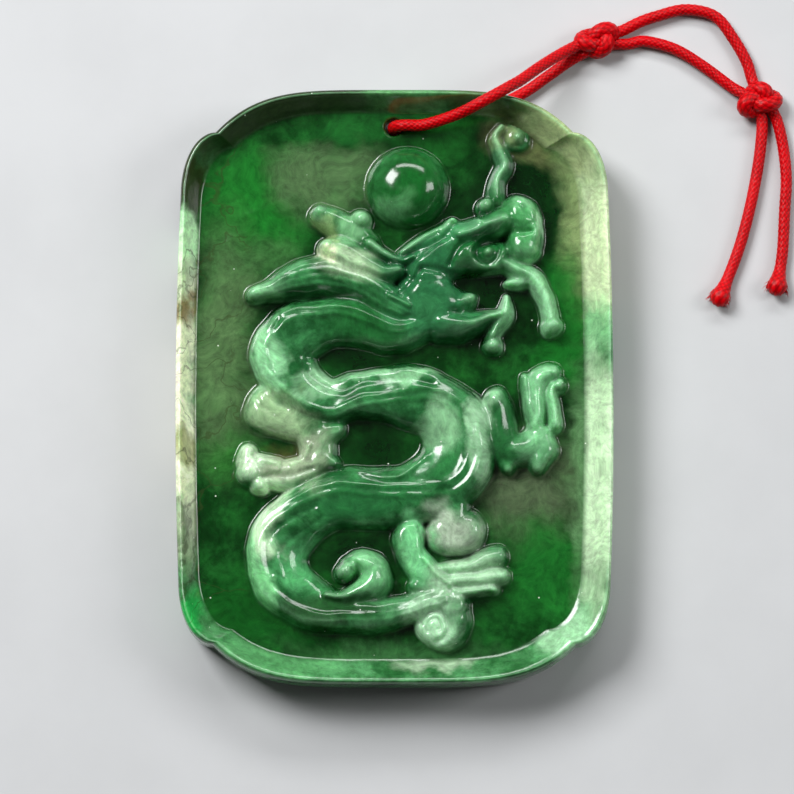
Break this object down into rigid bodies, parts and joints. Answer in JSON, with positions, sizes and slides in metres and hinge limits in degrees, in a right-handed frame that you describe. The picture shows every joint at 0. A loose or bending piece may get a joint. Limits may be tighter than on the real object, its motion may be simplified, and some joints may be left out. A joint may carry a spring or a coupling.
{
  "type": "jadeite dragon pendant",
  "caption": "Rectangular carved jade plaque with notched corners, a raised rim and a dragon chasing a pearl in high relief, on a red knotted cord.",
  "frame": {"origin": "under the middle of the plaque, on the surface that its back lies on", "axes": "+Y towards the edge that the plaque hangs from, +X to the right of the carving, +Z out of the carved face"},
  "size_m": [0.0625, 0.0702, 0.0081],
  "materials": {
    "green_jade": "polished, translucent, mottled green",
    "red_cord": "braided, soft sheen"
  },
  "bodies": {
    "root": {"plaque": "green_jade", "cord_through_bore": "red_cord", "cord_outer_run": "red_cord", "cord_inner_run": "red_cord", "tail_left": "red_cord", "tail_right": "red_cord", "knot_by_plaque": "red_cord", "knot_at_tails": "red_cord"}
  },
  "joints": []
}
